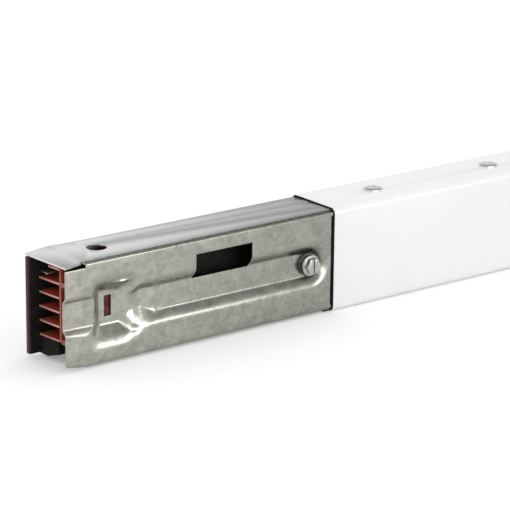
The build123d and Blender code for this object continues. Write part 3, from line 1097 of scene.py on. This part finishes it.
@dataclass
class BentSheet:
    """A side plate: a web with a bent flange along its top and its foot, and a cut free end."""

    frame: Frame
    finishes: Finishes
    node: str
    name: str
    forms: Sequence[Pressing] = ()
    bulges: Sequence[Bulge] = ()
    openings: Sequence[tuple[Span, Span]] = ()
    faces_back: bool = False
    sheet: float = 1.2
    top_bend: float = 1.2
    foot_bend: float = 4.0
    flange: float = 10.0
    setback: float = 1.8
    lead_in: float = 17.4
    lead_web_drop: float = 2.3
    corner_cut: Span = (1.0, 2.0)
    toe_rise: float = 2.2
    toe_run: float = 10.0
    toe_height: float = 8.0
    end_facing: float = 0.6
    edge_ease: float = 0.14
    blend: float = 0.9
    fine: float = 0.5
    coarse_height: float = 12.0
    coarse_place: float = 20.0
    fine_heights: Span = (10.3, 58.3)
    fine_places: tuple[Span, ...] = ((0.0, 78.0), (184.0, 213.0))

    def sink(self, x: np.ndarray, z: np.ndarray) -> np.ndarray:
        """The depth of the whole relief at each place, in mm.

        Args:
            x: Places along the plate.
            z: Heights on the plate.

        Returns:
            The depths.
        """
        total = np.zeros_like(x)
        for form in self.forms:
            total = joined_depth(total, form.sink(x, z), self.blend)
        return total - sum(bulge.height(x, z) for bulge in self.bulges)

    @staticmethod
    def stations(ends: Span, stops: Iterable[float], step: Callable[[float], float]) -> np.ndarray:
        """Grid lines between two ends that fall on given stops.

        Args:
            ends: The first and last line.
            stops: Places that must have a line.
            step: The wanted step at a place.

        Returns:
            The places of the lines.
        """
        marks = sorted({*ends, *(s for s in stops if ends[0] < s < ends[1])})
        lines: list[float] = []
        for a, b in zip(marks, marks[1:]):
            count = max(1, round((b - a) / step((a + b) / 2)))
            lines.extend(np.linspace(a, b, count, endpoint=False))
        return np.array([*lines, marks[-1]])

    def profile(self, height: float) -> tuple[np.ndarray, np.ndarray]:
        """The sheet's outer face from the foot flange's edge up to the top flange's edge.

        Args:
            height: The plate's height.

        Returns:
            Depths behind the web, and heights.
        """
        turn = np.radians(np.arange(90, 0, -15))
        along, up = 1 - np.cos(turn), 1 - np.sin(turn)
        step = self.fine if self.forms else self.coarse_height
        stops = [*self.fine_heights, *(z for _, span in self.openings for z in span)]
        web = self.stations(
            (self.foot_bend, height - self.top_bend),
            stops,
            lambda z: step if self.fine_heights[0] < z < self.fine_heights[1] else 3 * step,
        )
        foot, top = (
            np.array([self.flange, (self.flange + bend) / 2, *(bend * along)])
            for bend in (self.foot_bend, self.top_bend)
        )
        foot_up, top_down = (
            np.array([0.0, 0.0, *(bend * up)]) for bend in (self.foot_bend, self.top_bend)
        )
        depths = np.concatenate([foot, np.zeros_like(web), top[::-1]])
        heights = np.concatenate([foot_up, web, height - top_down[::-1]])
        return depths, heights

    def places(self, start: float, end: float) -> np.ndarray:
        """Grid lines along the plate, close together where it is pressed.

        Args:
            start: The plate's first place.
            end: Its last place.

        Returns:
            The places of the lines.
        """
        step = self.fine if self.forms else self.coarse_place

        def wanted(x: float) -> float:
            """The step at a place."""
            return step if any(a < x < b for a, b in self.fine_places) else max(4 * step, 2.0)

        stops = [self.lead_in, *(x for span, _ in self.openings for x in span)]
        stops += [x for span in self.fine_places for x in span]
        return self.stations((start, end), stops, wanted)

    def build(self) -> None:
        """Make the plate, cut its openings, give it its thickness and hand it over."""
        plate = link_mesh(self.name, self.outer_face())
        wall = plate.modifiers.new("sheet", "SOLIDIFY")
        wall.thickness = self.sheet * MM
        wall.offset = -1.0
        wall.use_even_offset = True
        wall.material_offset_rim = 1
        ease_edges(plate, self.edge_ease, 55.0)
        settle(plate, sharp_deg=35.0)
        for face in plate.data.polygons:
            if face.normal.x < -self.end_facing:
                face.material_index = 0
        finish_piece(plate, [self.node])

    def outer_face(self) -> bpy.types.Mesh:
        """The plate's outer face in place, with both materials and without thickness.

        Returns:
            The open mesh.
        """
        low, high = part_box(self.node)
        origin = self.frame.joint_end
        start, end = (low.x - origin) / MM, (high.x - origin) / MM
        depths, heights = self.profile((high.z - low.z) / MM)
        along = self.places(start, end)
        x, z = np.meshgrid(along, heights, indexing="ij")
        y = np.broadcast_to(depths, x.shape) + self.sink(x, z) * (depths == 0.0)
        x, z = self.trimmed(x, z, start)
        side = high.y - y * MM if self.faces_back else low.y + y * MM
        points = np.stack([origin + x * MM, side, low.z + z * MM], axis=-1).reshape(-1, 3)
        mesh = bpy.data.meshes.new(self.name)
        mesh.from_pydata(points.tolist(), [], self.faces(along, heights, depths))
        work = bmesh.new()
        work.from_mesh(mesh)
        loose = [v for v in work.verts if not v.link_faces]
        bmesh.ops.delete(work, geom=loose, context="VERTS")
        if self.faces_back:
            bmesh.ops.reverse_faces(work, faces=work.faces)
        work.to_mesh(mesh)
        work.free()
        mesh.materials.append(self.finishes.of(Slot.SHEET))
        mesh.materials.append(self.finishes.edge)
        return mesh

    def trimmed(
        self, x: np.ndarray, z: np.ndarray, start: float
    ) -> tuple[np.ndarray, np.ndarray]:
        """Move the free end's grid lines to its setback, its cut corner and its raised toe.

        Args:
            x: Places along the plate.
            z: Heights on the plate.
            start: The plate's first place.

        Returns:
            The moved places and heights.
        """
        cut = self.setback + np.clip(1 - z / self.corner_cut[1], 0, 1) * self.corner_cut[0]
        free = np.maximum(cut - start, 0.0)
        x = np.where(x < self.lead_in, x + free * (self.lead_in - x) / (self.lead_in - start), x)
        toe = np.clip(1 - (x - start) / self.toe_run, 0, 1) * np.clip(1 - z / self.toe_height, 0, 1)
        return x, z + self.toe_rise * toe

    def faces(
        self, along: np.ndarray, heights: np.ndarray, depths: np.ndarray
    ) -> list[tuple[int, int, int, int]]:
        """The sheet's faces, without those that its openings and cut end take away.

        Args:
            along: Places of the grid lines along the plate.
            heights: Heights of the lines across it.
            depths: Depths of those lines behind the web.

        Returns:
            Four corner numbers for each face.
        """
        rows = len(heights)
        top = heights[-1] - self.lead_web_drop
        kept = []
        for i, x in enumerate((along[:-1] + along[1:]) / 2):
            for j, z in enumerate((heights[:-1] + heights[1:]) / 2):
                folded = max(depths[j], depths[j + 1]) > self.sheet
                if x < self.lead_in and (folded or z > top):
                    continue
                if any(a < x < b and c < z < d for (a, b), (c, d) in self.openings):
                    continue
                a = i * rows + j
                kept.append((a, a + rows, a + rows + 1, a + 1))
        return kept


# ---- sub-assemblies


@dataclass
class SubAssembly:
    """Pieces that share the frame, its finishes and the tree of rows."""

    frame: Frame
    finishes: Finishes
    rows: RowTree

    def dress(
        self, node: str, name: str, slot: Slot, ease_mm: float, above_deg: float = 40.0
    ) -> None:
        """Ease one node's copy, give it its slot's finish and hand it over."""
        piece = self.frame.eased(node, name, [self.finishes.of(slot)], ease_mm, above_deg)
        finish_piece(piece, [node])

    def dress_row(
        self, stem: str, name: str, slot: Slot, ease_mm: float, above_deg: float = 40.0
    ) -> None:
        """Dress the first of a row of numbered nodes, and repeat it over all their places.

        Args:
            stem: How the nodes' names begin.
            name: The new piece's name.
            slot: Its material slot.
            ease_mm: The width of the eased edges.
            above_deg: Edges above this angle are eased.
        """
        nodes, finish = self.frame.numbered(stem), self.finishes.of(slot)
        first, second = (self.frame.middle(node) for node in nodes[:2])
        piece = self.frame.eased(nodes[0], name, [finish], ease_mm, above_deg)
        piece.data.transform(Matrix.Translation(-first))
        self.rows.repeat(piece, len(nodes), second - first, first, finish)
        finish_piece(piece, nodes)


@dataclass
class JointSleeve(SubAssembly):
    """The galvanised sleeve: its two side plates and two cover strips."""

    slot: tuple[Span, Span] = ((102.3, 147.7), (42.3, 59.7))
    window: tuple[Span, Span] = ((35.7, 41.1), (28.6, 42.6))
    ease: float = 0.12
    upright: float = 0.6

    def build(self) -> None:
        """Make the four sheets."""
        washer = self.frame.middle("flat_washer")
        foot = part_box("front_side_plate")[0].z
        screw = ((washer.x - self.frame.joint_end) / MM, (washer.z - foot) / MM)
        BentSheet(
            self.frame,
            self.finishes,
            "front_side_plate",
            "front_plate",
            forms=relief_forms(screw),
            bulges=BULGES,
            openings=(self.slot, self.window),
        ).build()
        BentSheet(
            self.frame, self.finishes, "rear_side_plate", "rear_plate", faces_back=True
        ).build()
        materials = [self.finishes.of(Slot.COVER), self.finishes.edge]
        for node in ("top_cover", "bottom_cover"):
            strip = self.frame.eased(node, f"{node}_strip", materials, self.ease)
            # The strips' long sides take the dark edge finish: painted shade of the gap over the
            # side plates' flanges. The tab's end keeps the zinc.
            for face in strip.data.polygons:
                face.material_index = int(abs(face.normal.y) > self.upright)
            finish_piece(strip, [node])


@dataclass
class ContactBlock(SubAssembly):
    """The insulating comb with its tray, trim, flag and earth strip."""

    comb_ease: float = 0.22
    faces_joint: float = 0.6

    def build(self) -> None:
        """Make the comb, whose trimmed ends carry painted light and shade, and the pieces round it.
        """
        materials = [self.finishes.of(Slot.RED), self.finishes.cut_red_lit_and_shaded]
        comb = self.frame.eased("contact_comb", "comb", materials, self.comb_ease)
        for face in comb.data.polygons:
            face.material_index = int(face.normal.x < -self.faces_joint)
        finish_piece(comb, ["contact_comb"])
        self.dress("insulator_tray", "tray", Slot.BLACK, ease_mm=0.3)
        self.dress("tray_edge", "tray_trim", Slot.MAROON_SHADE, ease_mm=0.3)
        self.dress("indicator", "window_flag", Slot.FLAG, ease_mm=0.3)
        self.dress("earth_contact", "earth_strip", Slot.TIN, ease_mm=0.12)


@dataclass
class Conductors(SubAssembly):
    """The four bars and the jaws that grip them, each made once and repeated upwards."""

    def build(self) -> None:
        """Make the rows of bars and jaws."""
        self.dress_row("busbar", "bars", Slot.COPPER, ease_mm=0.25)
        self.dress_row("contact_jaw", "jaws", Slot.TIN, ease_mm=0.25)


@dataclass
class ClampScrew(SubAssembly):
    """The clamping screw, its two washers and its nut."""

    def build(self) -> None:
        """Make the four small pieces."""
        self.dress("lock_screw", "screw", Slot.ZINC, ease_mm=0.3)
        self.dress("spring_washer", "lock_washer", Slot.ZINC, ease_mm=0.15)
        self.dress("flat_washer", "plain_washer", Slot.DARK_ZINC_SHADE, ease_mm=0.25)
        self.dress("lock_nut", "nut", Slot.ZINC, ease_mm=0.3)


@dataclass
class CasingTube(SubAssembly):
    """The painted tube with its rivets, its gasket and the supports inside."""

    flange: float = 6.5
    dome: float = 1.4
    bore: float = 1.2
    shank: float = 2.4
    grip: float = 2.5
    rim: float = 0.35
    sides: int = 40

    def build(self) -> None:
        """Make the tube, gasket, supports and rivets."""
        self.dress("casing", "casing_tube", Slot.PAINT, ease_mm=0.2, above_deg=60.0)
        self.dress("end_gasket", "gasket", Slot.RUBBER, ease_mm=0.2, above_deg=60.0)
        self.dress_row("bar_support", "supports", Slot.BLACK, ease_mm=0.3, above_deg=50.0)
        self.rivets()

    def rivets(self) -> None:
        """Spin one rivet and repeat it along the tube's top, each turned its own way."""
        nodes = self.frame.numbered("rivet")
        low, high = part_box(nodes[0])
        middle = (low + high) / 2
        first = Vector((middle.x, middle.y, high.z - self.dome * MM))
        step = Vector(((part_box(nodes[1])[0].x - low.x), 0, 0))
        work = bmesh.new()
        verts = [work.verts.new((r * MM, 0, z * MM)) for r, z in self.rivet_outline()]
        edges = [work.edges.new(pair) for pair in zip(verts, verts[1:] + verts[:1])]
        bmesh.ops.spin(
            work,
            geom=verts + edges,
            cent=(0, 0, 0),
            axis=(0, 0, 1),
            angle=math.tau,
            steps=self.sides,
            use_merge=True,
        )
        bmesh.ops.remove_doubles(work, verts=work.verts, dist=1e-7)
        bmesh.ops.recalc_face_normals(work, faces=work.faces)
        mesh = bpy.data.meshes.new("rivets")
        work.to_mesh(mesh)
        work.free()
        piece = link_mesh("rivets", mesh)
        steel = self.finishes.of(Slot.RIVET)
        self.rows.repeat(piece, len(nodes), step, first, steel, turn=math.tau, seed=4)
        finish_piece(piece, nodes)

    def rivet_outline(self) -> list[tuple[float, float]]:
        """The rivet's half section: a shank, a low dome and the lip of its pulled bore.

        Returns:
            Radius and height pairs in mm, with the tube's top at height 0.
        """
        dome = [
            (
                self.flange * math.cos(t) ** 0.75,
                self.rim + (self.dome - self.rim) * math.sin(t) ** 0.8,
            )
            for t in np.linspace(0.0, 1.15, 9)
        ]
        lip = [(self.bore + 0.5, self.dome), (self.bore + 0.15, self.dome - 0.15)]
        inside = [(self.bore, self.dome - 0.5), (self.bore, -self.grip)]
        foot = [(self.shank, -self.grip), (self.shank, 0.0), (self.flange, 0.0)]
        return [*dome, *lip, *inside, *foot]


# ---- studio


@dataclass(frozen=True)
class Lamp:
    """One rectangular lamp, placed by its direction from what it is aimed at."""

    name: str
    towards: Triple
    aim: Triple
    distance: float
    size: Span
    power: float
    lights_matt: bool = True

    def build(self) -> None:
        """Hang the lamp."""
        light = bpy.data.lights.new(self.name, "AREA")
        light.shape = "RECTANGLE"
        light.size, light.size_y = self.size
        light.energy = self.power
        lamp = bpy.data.objects.new(self.name, light)
        lamp.visible_diffuse = self.lights_matt
        bpy.context.scene.collection.objects.link(lamp)
        direction = Vector(self.towards).normalized()
        lamp.location = Vector(self.aim) + direction * self.distance
        lamp.rotation_mode = "QUATERNION"
        lamp.rotation_quaternion = direction.to_track_quat("Z", "Y")


@dataclass
class Studio:
    """A pale floor, a bright surround, three soft lamps and the camera."""

    lens: float = 189.25
    eye: Triple = (-1.48117, -1.34297, 0.56738)
    yaw_deg: float = 37.7535
    pitch_deg: float = -17.1493
    roll_deg: float = 0.5697
    lamps: tuple[Lamp, ...] = (
        Lamp("strip", (-0.02, -0.98, 0.21), (-0.50, 0.0, 0.05), 1.0, (1.35, 0.31), 6.2, False),
        Lamp("front", (0.10, -0.97, 0.22), (-0.30, 0.0, 0.05), 1.5, (1.2, 0.6), 2.9),
        Lamp("spot", (-0.41, -0.57, 0.70), (-0.42, 0.0, 0.04), 1.2, (0.30, 0.30), 1.1, False),
    )
    floor_half: float = 30.0
    floor_grey: float = 0.80
    floor_glow: float = 0.25
    horizon: float = 1.0
    zenith: float = 0.5
    ambient: float = 1.0
    flag_side: Triple = (0.80, -0.60, 0.0)
    flag_edge: Span = (-0.02, 0.16)
    flag_tone: float = 0.88

    def build(self) -> None:
        """Set up the whole studio."""
        self.world()
        self.floor()
        for lamp in self.lamps:
            lamp.build()
        self.camera()
        bpy.context.scene.view_settings.view_transform = "Standard"

    @staticmethod
    def seen(graph: Graph) -> Socket:
        """1 for camera, mirror and glass rays, and 0 for the rays that light a surface.

        Args:
            graph: The graph that reads the rays.

        Returns:
            The value.
        """
        path = graph.add("ShaderNodeLightPath").outputs
        first = graph.sums(path["Is Camera Ray"], path["Is Glossy Ray"], "MAXIMUM")
        return graph.sums(first, path["Is Transmission Ray"], "MAXIMUM")

    def world(self) -> None:
        """Light from all round, greyer overhead and behind the section's far end."""
        world = bpy.data.worlds.new("studio")
        bpy.context.scene.world = world
        world.use_nodes = True
        graph = Graph(world.node_tree)
        output = graph.add("ShaderNodeOutputWorld")
        light = graph.add("ShaderNodeBackground")
        light.inputs["Color"].default_value = (1.0, 1.0, 1.0, 1.0)
        place = graph.add("ShaderNodeTexCoord").outputs["Generated"]
        side = graph.add("ShaderNodeVectorMath", operation="DOT_PRODUCT")
        side.inputs[1].default_value = self.flag_side
        graph.link(place, side.inputs[0])
        fade, darker = "SMOOTHSTEP", (0.0, 1.0 - self.flag_tone)
        sky = (self.horizon, self.zenith)
        overhead = graph.ranged(graph.along(place, "Z"), sky, (0.3, 0.75), fade)
        behind = graph.ranged(graph.along(place, "Y"), (0.0, 1.0), (0.0, 0.3), fade)
        flag = graph.ranged(side.outputs["Value"], darker, self.flag_edge, fade)
        mirror = graph.add("ShaderNodeLightPath").outputs["Is Glossy Ray"]
        shade = graph.sums(graph.sums(behind, flag, "MULTIPLY"), mirror, "MULTIPLY")
        bright = graph.sums(overhead, graph.sums(overhead, shade, "MULTIPLY"), "SUBTRACT")
        strength = graph.add("ShaderNodeMix", data_type="FLOAT")
        strength.inputs["A"].default_value = self.ambient
        graph.link(self.seen(graph), strength.inputs["Factor"])
        graph.link(bright, strength.inputs["B"])
        graph.link(strength.outputs["Result"], light.inputs["Strength"])
        graph.link(light.outputs["Background"], output.inputs["Surface"])

    def floor(self) -> None:
        """A wide pale floor that looks white and still takes the section's shadow."""
        material = bpy.data.materials.new("studio_floor")
        material.use_nodes = True
        graph = Graph(material.node_tree)
        output = graph.add("ShaderNodeOutputMaterial")
        matt = graph.add("ShaderNodeBsdfDiffuse")
        matt.inputs["Color"].default_value = (self.floor_grey,) * 3 + (1.0,)
        glow = graph.add("ShaderNodeEmission")
        gain = graph.add("ShaderNodeMath", operation="MULTIPLY")
        gain.inputs[1].default_value = self.floor_glow
        both = graph.add("ShaderNodeAddShader")
        graph.link(self.seen(graph), gain.inputs[0])
        graph.link(gain.outputs["Value"], glow.inputs["Strength"])
        graph.link(matt.outputs["BSDF"], both.inputs[0])
        graph.link(glow.outputs["Emission"], both.inputs[1])
        graph.link(both.outputs["Shader"], output.inputs["Surface"])
        half = self.floor_half
        mesh = bpy.data.meshes.new("floor")
        corners = [(-half, -half, 0), (half, -half, 0), (half, half, 0), (-half, half, 0)]
        mesh.from_pydata(corners, [], [(0, 1, 2, 3)])
        mesh.materials.append(material)
        link_mesh("floor", mesh)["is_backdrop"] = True

    def camera(self) -> None:
        """The camera, looking down along the section from its joint end."""
        data = bpy.data.cameras.new("camera")
        data.lens = self.lens
        data.sensor_width = 36.0
        data.clip_start, data.clip_end = 0.05, 100.0
        camera = bpy.data.objects.new("camera", data)
        bpy.context.scene.collection.objects.link(camera)
        yaw, pitch = math.radians(self.yaw_deg), math.radians(self.pitch_deg)
        ahead = Vector(
            (math.sin(yaw) * math.cos(pitch), math.cos(yaw) * math.cos(pitch), math.sin(pitch))
        )
        level = ahead.to_track_quat("-Z", "Y").to_matrix()
        turn = Matrix.Rotation(-math.radians(self.roll_deg), 3, ahead)
        camera.matrix_world = Matrix.Translation(Vector(self.eye)) @ (turn @ level).to_4x4()
        bpy.context.scene.camera = camera


def main() -> None:
    """Build the dressed section and its studio."""
    for old in list(bpy.data.objects):
        bpy.data.objects.remove(old)
    frame = Frame()
    finishes = Finishes()
    rows = RowTree()
    for group in (JointSleeve, ContactBlock, Conductors, ClampScrew, CasingTube):
        group(frame, finishes, rows).build()
    Studio().build()


if __name__ == "__main__":
    main()
